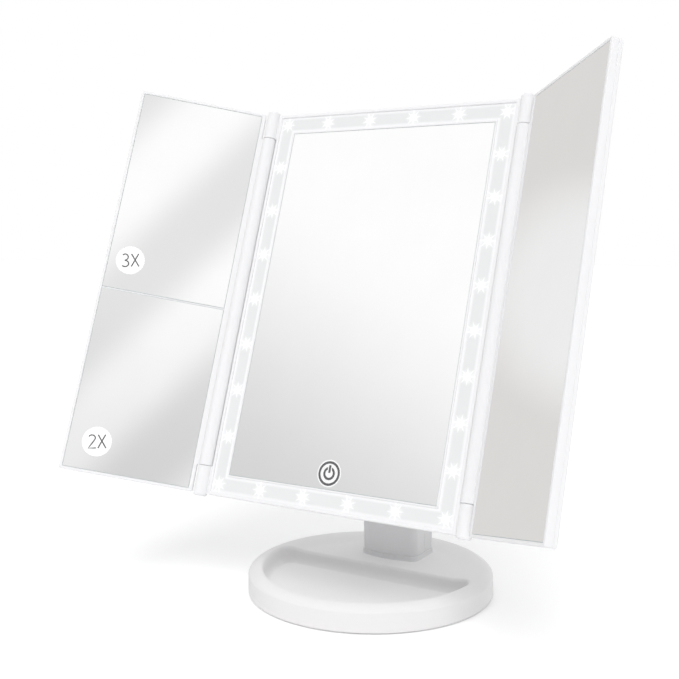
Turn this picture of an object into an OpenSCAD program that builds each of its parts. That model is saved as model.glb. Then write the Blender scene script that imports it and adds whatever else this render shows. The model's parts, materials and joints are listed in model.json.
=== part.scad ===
// Tri-fold lighted vanity mirror: a lit centre mirror with two folding doors,
// held by a tilting hinge on a cranked neck that stands on a round tray base.
// +Z is up, the mirror faces -Y, and the origin is under the middle of the base.

/* [Centre panel] */
// Width of the centre panel without its hinges
panel_w = 160; // [134:1:192]
// Height of the centre panel and of both doors
panel_h = 240; // [200:1:288]
// Corner radius of the panel's outline
panel_r = 2.5; // [1:0.5:4]
// Depth of the front frame, back to the parting line
frame_d = 6; // [5.6:0.2:7.2]
// Side wall of the front frame
frame_wall = 1.4; // [1.2:0.1:1.7]
// Visible width of the frame's front lip
lip_w = 2; // [1.8:0.1:2.4]
// Thickness of that lip
lip_t = 0.8; // [0.6:0.1:1]
// Visible width of the frosted light band
band_w = 10; // [8.4:0.1:12]
// Thickness of the frosted window in the band
window_t = 2; // [1.6:0.1:2.4]
// Wall of the rear housing
housing_wall = 1.8; // [1.5:0.1:2.2]
// Depth of the rear housing behind the parting line
housing_d = 5.5; // [5:0.5:6.6]
// Bevel round the back of the housing
back_bevel = 2; // [1.5:0.5:2.4]

/* [Mirrors] */
// Thickness of every mirror glass
glass_t = 2; // [1.6:0.1:2.2]
// White lip between the centre mirror and the light band
tray_lip = 1.1; // [0.9:0.1:1.3]
// Height of the middle of the touch key above the centre glass's lower edge
key_rise = 8.9; // [8:0.1:12]
// Outer radius of the printed key ring
key_r = 6.8; // [5.6:0.1:7.5]

/* [Doors] */
// Thickness of a door
door_t = 6.5; // [6:0.1:7.8]
// Depth of the door's front frame, back to its parting line
door_frame_d = 4; // [3.8:0.1:4.4]
// Visible rim of a door at the top, bottom and outer side
door_rim = 1.8; // [1.5:0.1:2.2]
// Visible rim of a door at the hinge side
door_hinge_rim = 2.4; // [2:0.1:3]
// Height of the rib between the two left glasses, from the panel's middle
divider_z = -8.5; // [-12:0.5:12]
// How far the left door is folded forward as it stands
left_angle = 34.4; // [10:0.1:80]
// How far the right door is folded forward as it stands
right_angle = 43.3; // [10:0.1:80]
// Radius of the round power labels on the left door
label_r = 8.7; // [7:0.1:10]

/* [Door hinges] */
// Diameter of the hinge bead
bead_d = 8.4; // [7.4:0.1:9.6]
// Length of each end knuckle on the panel
knuckle_l = 16.3; // [14:0.1:20]
// How far the domed knuckles stand above the panel
knuckle_rise = 1.6; // [1:0.1:2]
// Diameter of the door hinge pins
pin_d = 2.5; // [2:0.1:3]
// Depth of a pin in the knuckle, and in the door's barrel
pin_grip = 11; // [9:0.5:12]

/* [Head tilt] */
// Backward lean of the head as it stands
tilt = 19.3; // [0:0.1:40]
// Height of the tilt axis above the base's underside
pivot_z = 105.5; // [100:0.5:120]
// Place of the tilt axis in front of the base's middle
pivot_y = -12.5; // [-16:0.5:-8]
// Distance of the tilt axis behind the panel's front face
pivot_back = 24; // [23:0.5:28]
// Height of the panel's middle above the tilt axis, along the panel
pivot_drop = 62; // [52:1:74]
// Diameter of the tilt axle
axle_d = 6; // [5:0.1:7]
// Thickness of a hinge lug
lug_t = 6; // [5:0.5:8]
// Radius of the lugs' ends and of the neck's top
lug_r = 9; // [8.5:0.1:10]
// Thickness of a friction washer
washer_t = 1; // [0.8:0.1:1.4]

/* [Base] */
// Outer diameter of the tray base
base_d = 145.2; // [124:1:176]
// Height of the base's rim
rim_z = 15; // [14:0.5:18]
// Height of the edge where the side wall turns in
shoulder_z = 11.6; // [10:0.1:13]
// Height of the raised rear deck
deck_z = 13; // [12:0.5:13.5]
// Height of the tray's floor
floor_z = 5; // [4.6:0.1:6]
// Wall of the base
base_wall = 2.2; // [1.8:0.1:2.6]
// Width of the rim over the tray
rim_w = 9; // [8:0.5:11]
// Place of the tray's straight back wall, behind the base's middle
chord_y = 6; // [0:0.5:10]
// Corner radius of the tray
tray_r = 8; // [5:0.5:12]
// Height of the rubber feet below the base
foot_h = 1; // [0.8:0.1:1.4]
// Radius of a rubber foot
foot_r = 6; // [5:0.5:7]
// Thickness of the bottom cover
cover_t = 1.6; // [1.4:0.1:2]
// Thickness of the steel ballast
ballast_t = 5; // [4:0.5:6]

/* [Neck] */
// Width of the neck
neck_w = 37.4; // [32:0.2:44]
// Depth of the neck's foot
neck_d = 30; // [26:0.5:34]
// Gap between the neck's back and the inner edge of the tray's rim
neck_back_gap = 14.2; // [12:0.2:17]
// Height of the collar at the neck's foot
collar_h = 3; // [2:0.5:4]
// Height above the base's underside where the neck bends forward
knee_z = 38; // [34:1:44]
// Wall of the neck's covers
neck_wall = 2; // [1.6:0.1:2.4]

/* [Lights] */
// Lights along the top and along the bottom, corners included
row_lights = 6; // [5:1:8]
// Lights down the left side, corners included
left_lights = 9; // [7:1:11]
// Lights down the right side, corners included
right_lights = 10; // [7:1:11]

/* [Battery bay] */
// Diameter of a dry cell
cell_d = 10.5; // [10.5:0.1:12]
// Length of a dry cell
cell_l = 44.5; // [40:0.5:50]
// Gap between neighbouring cells
cell_gap = 1; // [0.8:0.1:2]
// Width of the hump over the bay
hump_w = 62; // [58:1:68]

/* [Hidden] */
$fn = 64;
eps = 0.01;          // overshoot of a cut, and overlap of a join
fit_gap = 0.2;       // between a part and the frame that holds it
run_gap = 0.3;       // between parts that move past each other
shaft_gap = 0.05;    // radial running clearance of a shaft

// Panel stack, front to back
band_in_w = panel_w - 2 * (lip_w + band_w);     // outline of the mirror tray
band_in_h = panel_h - 2 * (lip_w + band_w);
glass_w = band_in_w - 2 * tray_lip;
glass_h = band_in_h - 2 * tray_lip;
glass_y = 0.4;
tray_floor_y = glass_y + glass_t;
tray_floor_t = 1.4;
window_back = lip_t + window_t;
back_y = frame_d + housing_d;
inner_back = back_y - housing_wall;
led_x = panel_w / 2 - lip_w - band_w / 2;
led_z = panel_h / 2 - lip_w - band_w / 2;
board_t = 0.8;       // light boards, lying on the trough's floor
board_back = inner_back - 1;
chip_t = 0.7;        // light chips
key_z = -glass_h / 2 + key_rise;
key_clear_r = 6.9;   // hole behind the key in the mirror tray

// Doors: x runs outwards from the hinge axis
bead_r = bead_d / 2;
hinge_x = panel_w / 2 + bead_r + 0.5;
knuckle_z = panel_h / 2 - knuckle_l;
door_y = 0.4;                                   // front face behind the hinge axis
door_in = bead_r + 0.8;
door_out = hinge_x - run_gap;
door_mid = (door_in + door_out) / 2;
door_w = door_out - door_in;
door_parting = door_y + door_frame_d;
door_glass_y = door_y + 0.2;
door_floor_y = door_glass_y + glass_t;
door_floor_t = 1.2;                             // web of the door frame behind the glass
tile_in = door_in + door_hinge_rim + fit_gap / 2;
tile_out = door_out - door_rim - fit_gap / 2;
tile_top = panel_h / 2 - door_rim - fit_gap / 2;
rib_h = 0.8;                                    // rib between the two left glasses
label_t = 0.15;

// Base and neck
base_r = base_d / 2;
crest_run = 6.8;      // of the rim's outer arc, from the side wall to the crest
shoulder_drop = rim_z - shoulder_z;
crest_r = base_r - crest_run;
deck_edge = base_r - rim_w - 1.2;   // where the deck starts to rise to the rim
tray_in = base_r - rim_w;
cover_r = base_r - base_wall - fit_gap;
cover_top = foot_h + cover_t;
deck_under = deck_z - base_wall;
foot_sink = 0.4;      // depth of a foot's seat in the bottom cover
foot_ring = base_r - 22;
deck_screw_r = base_r - 12.6;
boss_r = 3.2;         // screw bosses under the deck
rim_boss_r = 2.8;     // screw bosses under the rim
screw_r = 1.5;
screw_l = 6;
head_r = 2.6;         // screw heads under the base
head_sink = 0.9;      // depth of a head's seat in the bottom cover
head_lift = 0.2;      // of a seated head above the cover's underside
ballast_inset = 7.6;  // from the base's side wall
ballast_gap = 0.6;    // round the bosses and behind the tray
bracket_head_r = 3;   // heads of the two screws that hold the bracket
bracket_head_h = 2.2;
bracket_foot = 22;    // depth of the bracket's foot
bracket_inset = 4;    // of the bracket from each side wall of the neck
neck_front = tray_in - neck_back_gap - neck_d;
neck_y = neck_front + neck_d / 2;
collar_top = deck_z + collar_h;
knee_r = neck_d / 2;
neck_corner = 5;
front_bow = 2;        // of the neck's front face across its width
bracket_t = 3;        // steel strip in the neck
bracket_w = neck_w - 2 * (neck_wall + bracket_inset);
sleeve_r = axle_d / 2 + 2.6;        // steel sleeve round the tilt axle
sleeve_x = neck_w / 2;
lug_x = neck_w / 2 + washer_t + fit_gap;

// Battery bay
cells = 4;
cell_pitch = cell_d + cell_gap;
bay_w = cells * cell_pitch + 1;
bay_floor = inner_back - 1.5;
hump_y = bay_floor + cell_d + 2.4;   // back of the hump, flush with the cover
contact_l = 3.6;      // room for a contact at each end of a cell
bay_h = cell_l + 2 * contact_l;
bay_mid = 10;         // height of the bay's middle above the panel's middle
lid_t = 1.5;
lid_w = bay_w + 3;
lid_bottom = bay_mid - bay_h / 2 - 1.5;
hump_top = bay_mid + bay_h / 2 + 5;
hump_bottom = lid_bottom - 4;
post_x = band_in_w / 2 - 8;          // screw posts between the mirror tray and the housing
post_z = band_in_h / 2 - 8;

// ---- shared shapes ----

// Rounded rectangle, from two bars and four corner discs
module rounded(w, h, r) {
  square([w - 2 * r, h], center = true);
  square([w, h - 2 * r], center = true);
  for (x = [-1, 1]) for (z = [-1, 1]) translate([x * (w / 2 - r), z * (h / 2 - r)]) circle(r);
}

// Upright plate w wide and h high, from y0 at its front to y1 at its back
module plate(w, h, y0, y1, r = 0.6) {
  translate([0, y1, 0]) rotate([90, 0, 0]) linear_extrude(y1 - y0) rounded(w, h, r);
}

// Rod along x from x0 to x1
module rod_x(r, x0, x1) {
  translate([x0, 0, 0]) rotate([0, 90, 0]) cylinder(r = r, h = x1 - x0);
}

// Rod along y from y0 to y1
module rod_y(r, y0, y1) {
  translate([0, y0, 0]) rotate([-90, 0, 0]) cylinder(r = r, h = y1 - y0);
}

// Two discs and the straight sides that touch both
module link(a, ra, b, rb) {
  d = b - a;
  len = norm(d);
  dir = atan2(d[1], d[0]);
  side = acos((ra - rb) / len);
  translate(a) circle(ra);
  translate(b) circle(rb);
  polygon([
    for (s = [side, -side]) a + ra * [cos(dir + s), sin(dir + s)],
    for (s = [-side, side]) b + rb * [cos(dir + s), sin(dir + s)]
  ]);
}

// Places a head part: the panel's middle, leaning back about the tilt axis
module in_head() {
  translate([0, pivot_y, pivot_z]) rotate([-tilt, 0, 0])
    translate([0, -pivot_back, pivot_drop]) children();
}

// Moves from the panel's middle to the tilt axis
module at_pivot() {
  translate([0, pivot_back, -pivot_drop]) children();
}

module in_right_door() {
  in_head() translate([hinge_x, 0, 0]) rotate([0, 0, -right_angle]) children();
}

module in_left_door() {
  in_head() mirror([1, 0, 0]) translate([hinge_x, 0, 0]) rotate([0, 0, -left_angle]) children();
}

// ---- base ----

shoulder_bend = (crest_run * crest_run + shoulder_drop * shoulder_drop) / (2 * shoulder_drop);
shoulder_turn = asin(crest_run / shoulder_bend);

// Half section of the base's outside, with the rim's arc from the shoulder to the crest
function tray_section(inset) = concat(
  [[0, foot_h - (inset > 0 ? eps : 0)], [base_r - inset, foot_h - (inset > 0 ? eps : 0)]],
  [for (i = [0:8]) let (a = shoulder_turn * (1 - i / 8))
    [crest_r + (shoulder_bend - inset) * sin(a), rim_z - shoulder_bend + (shoulder_bend - inset) * cos(a)]],
  [[crest_r - 1, rim_z - inset], [deck_edge + 1, deck_z + 0.3 - inset], [deck_edge - 1, deck_z - inset],
   [0, deck_z - inset]]
);

// Outline of the half-moon tray: a circle cut by a chord, with rounded corners
function half_moon(r, chord, corner) =
  let (cy = chord - corner, cx = sqrt(pow(r - corner, 2) - pow(cy, 2)), turn = atan2(cy, cx))
  concat(
    [for (i = [0:8]) let (a = turn + (90 - turn) * i / 8) [cx + corner * cos(a), cy + corner * sin(a)]],
    [for (i = [0:8]) let (a = 90 + (90 - turn) * i / 8) [-cx + corner * cos(a), cy + corner * sin(a)]],
    [for (i = [1:71]) let (a = 180 - turn + (180 + 2 * turn) * i / 72) [r * cos(a), r * sin(a)]]
  );

deck_screw_angles = [25, 65, 115, 155];
rim_screw_angles = [250, 290];
rim_screw_r = base_r - base_wall - rim_boss_r - run_gap;

module at_base_screws() {
  for (a = deck_screw_angles) rotate([0, 0, a]) translate([deck_screw_r, 0, 0]) children();
  for (a = rim_screw_angles) rotate([0, 0, a]) translate([rim_screw_r, 0, 0]) children();
}

bracket_screw_x = 7;
module at_bracket_screws() {
  for (x = [-1, 1]) translate([x * bracket_screw_x, neck_y, 0]) children();
}

module base_tray() {
  color("#e9e9ec") difference() {
    union() {
      difference() {
        rotate_extrude($fn = 128) polygon(tray_section(0));
        rotate_extrude($fn = 128) polygon(tray_section(base_wall));
      }
      translate([0, 0, floor_z - base_wall + 0.2]) linear_extrude(deck_z - floor_z)
        polygon(half_moon(tray_in + base_wall, chord_y + base_wall, tray_r + base_wall));
      for (a = deck_screw_angles) rotate([0, 0, a]) translate([deck_screw_r, 0, cover_top])
        cylinder(r = boss_r, h = deck_under - cover_top + eps);
      for (a = rim_screw_angles) rotate([0, 0, a]) translate([rim_screw_r, 0, cover_top])
        cylinder(r = rim_boss_r, h = shoulder_z - cover_top - 1);
    }
    translate([0, 0, floor_z]) linear_extrude(rim_z) polygon(half_moon(tray_in, chord_y, tray_r));
    at_base_screws() translate([0, 0, cover_top - eps]) cylinder(r = screw_r, h = screw_l);
    at_bracket_screws() translate([0, 0, deck_under - eps]) cylinder(r = screw_r + 0.2, h = base_wall + 2 * eps);
  }
}

module foot_places() {
  children();
  for (a = [45:90:315]) rotate([0, 0, a]) translate([foot_ring, 0, 0]) children();
}

module base_bottom_cover() {
  color("#e2e2e4") difference() {
    translate([0, 0, foot_h]) cylinder(r = cover_r, h = cover_t, $fn = 128);
    foot_places() translate([0, 0, foot_h - eps]) cylinder(r = foot_r, h = foot_sink + eps);
    at_base_screws() {
      translate([0, 0, foot_h - eps]) cylinder(r = screw_r, h = cover_t + 2 * eps);
      translate([0, 0, foot_h - eps]) cylinder(r = head_r + fit_gap, h = head_sink);
    }
  }
}

module ballast_plate() {
  color("#8d9196") translate([0, 0, cover_top]) difference() {
    linear_extrude(ballast_t) intersection() {
      circle(base_r - ballast_inset, $fn = 128);
      translate([-base_r, chord_y + base_wall + ballast_gap]) square([base_d, base_d]);
    }
    for (a = deck_screw_angles) rotate([0, 0, a]) translate([deck_screw_r, 0, -eps])
      cylinder(r = boss_r + ballast_gap, h = ballast_t + 2 * eps);
    at_bracket_screws() translate([0, 0, -eps]) cylinder(r = bracket_head_r + 2 * ballast_gap, h = ballast_t + 2 * eps);
  }
}

module rubber_feet() {
  color("#3a3a3c") foot_places() cylinder(r = foot_r, h = foot_h + foot_sink);
}

module base_screws() {
  color("#b9bcc0") at_base_screws() {
    translate([0, 0, foot_h + head_lift]) cylinder(r = head_r, h = head_sink - head_lift - eps);
    translate([0, 0, foot_h + head_lift]) cylinder(r = screw_r, h = screw_l);
  }
}

// ---- neck ----

module neck_plan(grow = 0) {
  bow_r = neck_w * neck_w / (8 * front_bow) + front_bow / 2;
  translate([0, neck_y]) intersection() {
    rounded(neck_w + 2 * grow, neck_d + 2 * grow, neck_corner + grow);
    translate([0, bow_r - neck_d / 2]) circle(bow_r + grow, $fn = 160);
  }
}

knee = [neck_y, knee_z];
pivot = [pivot_y, pivot_z];

// Side view of the neck, y across and z up, drawn in by a wall
module neck_side(inset) {
  link(knee, knee_r - inset, pivot, lug_r - inset);
  translate([neck_front + inset, collar_top]) square([neck_d - 2 * inset, knee_z - collar_top]);
}

// Turns a side view into a solid that is w wide
module across(w) {
  rotate([90, 0, 90]) translate([0, 0, -w / 2]) linear_extrude(w) children();
}

module neck_shell() {
  difference() {
    union() {
      across(neck_w) link(knee, knee_r - 0.8, pivot, lug_r);
      intersection() {
        translate([0, 0, collar_top]) linear_extrude(knee_z - collar_top + knee_r) neck_plan();
        across(neck_w) neck_side(0);
      }
    }
    across(neck_w - 2 * neck_wall) neck_side(neck_wall);
    across(neck_w - 2 * neck_wall) translate([neck_front + neck_wall + 2, collar_top - eps])
      square([neck_d - 2 * neck_wall - 4, 4]);
    translate([0, pivot_y, pivot_z]) rod_x(sleeve_r, -neck_w, neck_w);
  }
}

// Everything in front of the line from the foot's middle to the axle
module front_of_neck() {
  across(2 * neck_w) polygon([[-base_r, 0], [neck_y, 0], knee, pivot, pivot + [-20, 40], [-base_r, 160]]);
}

module neck_front_cover() {
  color("#dfdfe1") intersection() {
    neck_shell();
    front_of_neck();
  }
}

module neck_rear_cover() {
  color("#dcdcde") difference() {
    neck_shell();
    front_of_neck();
  }
}

module neck_collar() {
  color("#d6d6d8") difference() {
    translate([0, 0, deck_z]) linear_extrude(collar_h) neck_plan(0.4);
    translate([-bracket_w / 2 - fit_gap, neck_y - bracket_foot / 2 - fit_gap, deck_z - eps])
      cube([bracket_w + 2 * fit_gap, bracket_foot + 2 * fit_gap, collar_h + 2 * eps]);
  }
}

module neck_bracket() {
  strip = bracket_t / 2;
  color("#a9adb2") difference() {
    union() {
      translate([-bracket_w / 2, neck_y - bracket_foot / 2, deck_z]) cube([bracket_w, bracket_foot, collar_h]);
      across(bracket_w) {
        translate([neck_y - strip, deck_z]) square([bracket_t, knee_z - deck_z]);
        link(knee, strip, pivot, strip);
      }
      translate([0, pivot_y, pivot_z]) rod_x(sleeve_r, -sleeve_x, sleeve_x);
    }
    translate([0, pivot_y, pivot_z]) rod_x(axle_d / 2 + shaft_gap, -neck_w, neck_w);
    at_bracket_screws() translate([0, 0, deck_z - eps]) cylinder(r = screw_r, h = 8);
  }
}

module bracket_screws() {
  color("#b9bcc0") at_bracket_screws() {
    translate([0, 0, deck_under - bracket_head_h]) cylinder(r = bracket_head_r, h = bracket_head_h);
    translate([0, 0, deck_under - 1]) cylinder(r = screw_r, h = base_wall + 1 + collar_h + 2);
  }
}

// ---- head ----

// Domed end knuckle, which holds one hinge pin
module knuckle() {
  h = knuckle_l + knuckle_rise;
  dome = knuckle_rise;
  rotate_extrude() polygon(concat([[0, 0], [bead_r, 0]],
    [for (a = [0:15:90]) [bead_r - dome + dome * cos(a), h - dome + dome * sin(a)]], [[0, h]]));
}

module each_knuckle() {
  for (x = [0, 1]) for (z = [0, 1])
    mirror([x, 0, 0]) mirror([0, 0, z]) translate([hinge_x, 0, knuckle_z]) children();
}

module front_frame() {
  wall_x = hinge_x - panel_w / 2;
  color("#f4f4f6") in_head() difference() {
    union() {
      plate(panel_w, panel_h, 0, frame_d, panel_r);
      each_knuckle() {
        knuckle();
        translate([-wall_x - frame_wall, 0, 0]) cube([wall_x + frame_wall, bead_r, knuckle_l]);
      }
    }
    plate(panel_w - 2 * lip_w, panel_h - 2 * lip_w, -bead_r, frame_d, 1);
    plate(panel_w - 2 * frame_wall, panel_h - 2 * frame_wall, lip_t, frame_d + eps, 1.2);
    each_knuckle() translate([0, 0, -eps]) cylinder(r = pin_d / 2, h = pin_grip + eps);
  }
}

module light_window() {
  color("#e3e4e6") in_head() difference() {
    plate(panel_w - 2 * (frame_wall + fit_gap), panel_h - 2 * (frame_wall + fit_gap), lip_t, window_back, 1);
    plate(band_in_w + fit_gap, band_in_h + fit_gap, 0, window_back + eps, 0.8);
  }
}

trough_w = panel_w - 2 * (housing_wall + fit_gap);
trough_h = panel_h - 2 * (housing_wall + fit_gap);
trough_wall = 1;

module light_trough() {
  color("#f7f7f7") in_head() difference() {
    plate(trough_w, trough_h, window_back, inner_back, 1);
    plate(band_in_w + 2 * fit_gap, band_in_h + 2 * fit_gap, 0, back_y, 0.8);
    difference() {
      plate(trough_w - 2 * trough_wall, trough_h - 2 * trough_wall, 0, board_back, 0.8);
      plate(band_in_w + 2 * fit_gap + 2 * trough_wall, band_in_h + 2 * fit_gap + 2 * trough_wall,
        -eps, board_back + eps, 0.8);
    }
  }
}

module led_boards() {
  strip = 7;
  gap = fit_gap;
  color("#eef0ee") in_head() {
    for (z = [-1, 1]) translate([0, 0, z * led_z]) plate(2 * led_x + strip, strip, board_back - board_t, board_back);
    for (x = [-1, 1]) translate([x * led_x, 0, 0])
      plate(strip, 2 * led_z - strip - 2 * gap, board_back - board_t, board_back);
  }
}

// Lights at an even pitch along each side, the corners shared
light_places = concat(
  [for (i = [0:row_lights - 1]) for (z = [-1, 1]) [led_x * (2 * i / (row_lights - 1) - 1), z * led_z]],
  [for (i = [1:left_lights - 2]) [-led_x, led_z * (1 - 2 * i / (left_lights - 1))]],
  [for (i = [1:right_lights - 2]) [led_x, led_z * (1 - 2 * i / (right_lights - 1))]]
);

module led_chips() {
  chip_back = board_back - board_t;
  color("#fff3c8") in_head() for (p = light_places) translate([p[0], 0, p[1]])
    plate(3.5, 2.8, chip_back - chip_t, chip_back, 0.3);
}

module at_posts() {
  for (x = [-post_x, post_x]) for (z = [-post_z, 0, post_z]) translate([x, 0, z]) children();
}

module mirror_tray() {
  tray_back = tray_floor_y + tray_floor_t;
  color("#f6f6f8") in_head() difference() {
    union() {
      plate(band_in_w, band_in_h, glass_y - 0.2, tray_back, 0.8);
      at_posts() rod_y(3, tray_back - eps, inner_back);
    }
    plate(glass_w + fit_gap, glass_h + fit_gap, 0, tray_floor_y, 0.6);
    translate([0, 0, key_z]) rod_y(key_clear_r, 0, back_y);
    at_posts() rod_y(1.2, tray_back + 1, back_y);
  }
}

module main_mirror() {
  color("#d5dade") in_head() plate(glass_w, glass_h, glass_y, tray_floor_y, 0.5);
}

// Ring drawn flat on the glass
module flat_ring(r, stroke, y0, y1) {
  difference() {
    rod_y(r, y0, y1);
    rod_y(r - stroke, y0 - 1, y1 + 1);
  }
}

module touch_key_mark() {
  stroke = 1.3;
  mark_r = key_r * 0.54;
  y0 = glass_y - 0.1;
  color("#5a5a5c") in_head() translate([0, 0, key_z]) {
    flat_ring(key_r, stroke, y0, glass_y);
    difference() {
      flat_ring(mark_r, stroke, y0, glass_y);
      translate([-stroke, y0 - 1, 0]) cube([2 * stroke, 3, key_r]);
    }
    translate([-stroke / 2, y0, mark_r * 0.1]) cube([stroke, 0.1, mark_r * 1.15]);
  }
}

module touch_electrode() {
  color("#c98a4b") in_head() translate([0, 0, key_z]) {
    rod_y(5.5, tray_floor_y, tray_floor_y + 0.4);
    rod_y(1, tray_floor_y + 0.4 - eps, board_y);
  }
}

// Control board behind the key
board_y = inner_back - 2.6;
board_mid = key_z + 6;
board_w = 46;
board_h = 26;

module control_board() {
  color("#2f6b46") in_head() translate([0, 0, board_mid]) plate(board_w, board_h, board_y, board_y + 1, 1);
}

module board_components() {
  y = board_y + 1;
  color("#2b2b2e") in_head() translate([0, 0, board_mid]) {
    translate([-10, 0, 3]) plate(6, 5, y, y + 1.4, 0.3);
    translate([4, 0, 5]) plate(5, 5, y, y + 1.5, 0.8);
    translate([15, 0, 1]) rod_y(2.5, y, y + 1.5);
    for (i = [0:4]) translate([-16 + 8 * i, 0, -8]) plate(2, 1.2, y, y + 0.6, 0.1);
  }
}

// Inlet in the underside of the battery hump
usb_x = 18;
usb_w = 7.6;
usb_t = 2.9;
usb_l = 5;
usb_wall = 0.4;
usb_y = bay_floor + cell_d / 2;
usb_z = hump_bottom + 0.3;

module usb_inlet() {
  color("#b4b8bc") in_head() translate([usb_x, usb_y, usb_z]) difference() {
    translate([-usb_w / 2, -usb_t / 2, 0]) cube([usb_w, usb_t, usb_l]);
    translate([-usb_w / 2 + usb_wall, -usb_t / 2 + usb_wall, -eps])
      cube([usb_w - 2 * usb_wall, usb_t - 2 * usb_wall, usb_l - 2 * usb_wall]);
  }
}

module power_wires() {
  y = bay_floor - 2.2;
  top = bay_mid - bay_h / 2 + 6;
  color("#a33a34") in_head() for (x = [-9, 9])
    translate([x, y, board_mid + board_h / 2 + 1]) cylinder(r = 0.6, h = top - board_mid - board_h / 2 - 1, $fn = 24);
}

// Seat of the battery cover, open at the top of the hump when it's a cut
module lid_seat(gap, y0, y1) {
  h = hump_top - lid_bottom + 2 * gap;
  translate([-lid_w / 2 - gap, y0, lid_bottom - gap]) cube([lid_w + 2 * gap, y1 - y0, h + (gap > 0 ? 5 : -fit_gap)]);
}

module rear_housing() {
  hump_h = hump_top - hump_bottom;
  lid_y = hump_y - lid_t;
  color("#f2f2f4") in_head() difference() {
    union() {
      difference() {
        hull() {
          plate(panel_w, panel_h, frame_d, back_y - back_bevel, panel_r, $fn = 32);
          plate(panel_w - 2 * back_bevel, panel_h - 2 * back_bevel, back_y - back_bevel, back_y, panel_r, $fn = 32);
        }
        plate(panel_w - 2 * housing_wall, panel_h - 2 * housing_wall, 0, inner_back, 1);
      }
      translate([0, 0, hump_bottom + hump_h / 2]) hull() {
        plate(hump_w, hump_h, inner_back, hump_y - 3, 4, $fn = 32);
        plate(hump_w - 5, hump_h - 5, hump_y - 0.5, hump_y, 3, $fn = 32);
      }
      translate([0, 0, bay_mid]) plate(bay_w + 3, bay_h + 3, bay_floor - 1.2, inner_back + eps, 1);
      at_pivot() for (s = [0, 1]) mirror([s, 0, 0]) translate([lug_x + lug_t / 2, 0, 0]) across(lug_t) {
        circle(lug_r);
        polygon([[0, lug_r], [inner_back + 0.5 - pivot_back, lug_r + 5],
          [inner_back + 0.5 - pivot_back, -lug_r - 5], [0, -lug_r]]);
      }
    }
    translate([0, 0, bay_mid]) plate(bay_w, bay_h, bay_floor, hump_y + 1, 0.8);
    lid_seat(fit_gap, lid_y - fit_gap, hump_y + 1);
    at_pivot() rod_x(axle_d / 2, -panel_w, panel_w);
    at_posts() {
      rod_y(1.6, inner_back - 1, back_y + 1);
      rod_y(2.8, back_y - 1.1, back_y + 1);
    }
    translate([usb_x - usb_w / 2 - fit_gap, usb_y - usb_t / 2 - fit_gap, hump_bottom - 1])
      cube([usb_w + 2 * fit_gap, usb_t + 2 * fit_gap, usb_z - hump_bottom + 1 + usb_l + fit_gap]);
  }
}

module housing_screws() {
  color("#b9bcc0") in_head() at_posts() {
    rod_y(2.5, back_y - 1.1, back_y - 0.2);
    rod_y(1.2, tray_floor_y + tray_floor_t + 1.4, back_y - 1);
  }
}

axle_head = 2.5;
module tilt_axle() {
  end = lug_x + lug_t;
  color("#9ea2a7") in_head() at_pivot() {
    rod_x(axle_d / 2, -end - 0.5, end + 5);
    rod_x(axle_d / 2 + 2, -end - axle_head, -end);
  }
}

module axle_nut() {
  color("#a7abb0") in_head() at_pivot() translate([lug_x + lug_t, 0, 0]) rotate([0, 90, 0]) difference() {
    cylinder(r = axle_d / 2 + 2.4, h = 4, $fn = 6);
    translate([0, 0, -1]) cylinder(r = axle_d / 2, h = 6);
  }
}

module friction_washers() {
  color("#c8c9cb") in_head() at_pivot() for (s = [0, 1]) mirror([s, 0, 0])
    translate([neck_w / 2 + fit_gap, 0, 0]) rotate([0, 90, 0]) difference() {
      cylinder(r = lug_r - 1, h = washer_t);
      translate([0, 0, -1]) cylinder(r = axle_d / 2, h = washer_t + 2);
    }
}

module lug_caps() {
  cap_l = 6.5;
  color("#efeff1") in_head() at_pivot() for (s = [0, 1]) mirror([s, 0, 0])
    translate([lug_x + lug_t, 0, 0]) rotate([0, 90, 0]) difference() {
      rotate_extrude() polygon([[0, 0], [lug_r - 1, 0], [lug_r - 1, cap_l - 1.5], [lug_r - 2.5, cap_l], [0, cap_l]]);
      translate([0, 0, -1]) cylinder(r = lug_r - 2.6, h = cap_l - 0.4);
    }
}

// Every other cell is turned end for end
module each_cell() {
  for (i = [0:cells - 1]) translate([(i - (cells - 1) / 2) * cell_pitch, bay_floor + cell_d / 2 + 0.1, bay_mid])
    mirror([0, 0, i % 2]) children();
}

module battery_cells() {
  color("#3b6ea8") in_head() each_cell() {
    translate([0, 0, -cell_l / 2]) cylinder(r = cell_d / 2 - 0.05, h = cell_l - 1);
    translate([0, 0, cell_l / 2 - 1 - eps]) cylinder(r = 1.9, h = 1);
  }
}

module battery_springs() {
  color("#c5c8cb") in_head() each_cell() translate([0, 0, -bay_h / 2]) {
    translate([-4, -4, 0]) cube([8, 8, 0.5]);
    translate([0, 0, 0.5 - eps]) cylinder(r1 = 3.6, r2 = 1.8, h = contact_l - 0.5);
  }
}

module battery_plates() {
  color("#c5c8cb") in_head() each_cell() translate([0, 0, bay_h / 2]) {
    translate([-4, -4, -0.5]) cube([8, 8, 0.5]);
    translate([0, 0, -contact_l]) cylinder(r = 2.6, h = contact_l - 0.5 + eps);
  }
}

module battery_cover() {
  ridges = 5;
  color("#f1f1f3") in_head() {
    lid_seat(0, hump_y - lid_t, hump_y);
    for (i = [0:ridges - 1]) translate([0, 0, lid_bottom + 8 + 2.4 * i])
      plate(18, 1, hump_y - eps, hump_y + 0.5, 0.4);
  }
}

module hinge_pins() {
  for (z = [0, 1]) mirror([0, 0, z]) translate([0, 0, knuckle_z - pin_grip])
    cylinder(r = pin_d / 2, h = 2 * pin_grip);
}

module left_hinge_pins() {
  color("#a0a4a9") in_head() translate([-hinge_x, 0, 0]) hinge_pins();
}

module right_hinge_pins() {
  color("#a0a4a9") in_head() translate([hinge_x, 0, 0]) hinge_pins();
}

// ---- doors ----

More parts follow.
